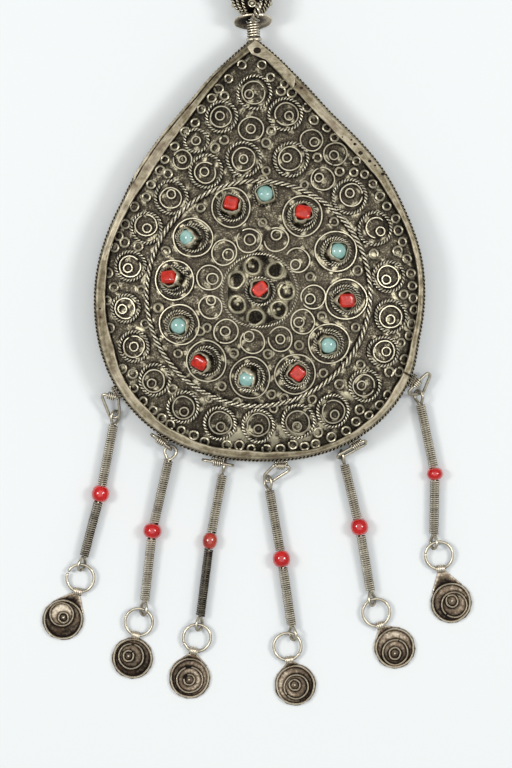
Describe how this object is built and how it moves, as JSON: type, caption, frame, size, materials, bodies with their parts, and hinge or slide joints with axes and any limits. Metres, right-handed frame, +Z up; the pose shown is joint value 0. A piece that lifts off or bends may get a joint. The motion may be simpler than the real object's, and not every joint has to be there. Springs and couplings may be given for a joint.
{
  "type": "fibula brooch",
  "caption": "Large teardrop fibula brooch: a domed plaque with soldered rings, coral and turquoise stones, a ball finial with an eye, bead drops with discs, and a dress pin.",
  "frame": {"origin": "bottom centre of the box round the whole brooch, on the surface that it lies on", "axes": "+Z up, the way the front faces; +Y along the brooch towards the ball and eye; +X across it to the right, seen from the front"},
  "size_m": [0.1168, 0.2078, 0.0237],
  "materials": {
    "case_silver": "aged low-grade silver sheet, worn smooth and warm grey",
    "plate_silver": "aged silver, blackened in the hollows and polished on the wire tops",
    "ball_silver": "aged silver wire work, dark between the wires",
    "coil_silver": "close-wound silver wire, dark between the turns",
    "wire_silver": "drawn silver wire, worn bright",
    "disc_silver": "struck silver sheet, brown-black in the dish",
    "coral": "polished orange-red coral",
    "turquoise": "pale blue-green turquoise, polished",
    "red_glass": "opaque red glass, glossy"
  },
  "bodies": {
    "root": {"case": "case_silver", "front_plate": "plate_silver", "stone_1": "turquoise", "stone_2": "coral", "stone_3": "turquoise", "stone_4": "coral", "stone_5": "turquoise", "stone_6": "coral", "stone_7": "turquoise", "stone_8": "coral", "stone_9": "turquoise", "stone_10": "coral", "stone_11": "turquoise", "stone_12": "coral", "stone_13": "coral", "neck_coil": "coil_silver", "collar": "wire_silver", "ball": "ball_silver", "top_eye": "wire_silver", "dress_pin": "wire_silver", "link_1": "wire_silver", "drop_wire_1": "wire_silver", "coils_1": "coil_silver", "bead_1": "red_glass", "jump_ring_1": "wire_silver", "disc_1": "disc_silver", "link_2": "wire_silver", "drop_wire_2": "wire_silver", "coils_2": "coil_silver", "bead_2": "red_glass", "jump_ring_2": "wire_silver", "disc_2": "disc_silver", "link_3": "wire_silver", "drop_wire_3": "wire_silver", "coils_3": "coil_silver", "bead_3": "red_glass", "jump_ring_3": "wire_silver", "disc_3": "disc_silver", "link_4": "wire_silver", "drop_wire_4": "wire_silver", "coils_4": "coil_silver", "bead_4": "red_glass", "jump_ring_4": "wire_silver", "disc_4": "disc_silver", "link_5": "wire_silver", "drop_wire_5": "wire_silver", "coils_5": "coil_silver", "bead_5": "red_glass", "jump_ring_5": "wire_silver", "disc_5": "disc_silver", "link_6": "wire_silver", "drop_wire_6": "wire_silver", "coils_6": "coil_silver", "bead_6": "red_glass", "jump_ring_6": "wire_silver", "disc_6": "disc_silver"}
  },
  "joints": []
}
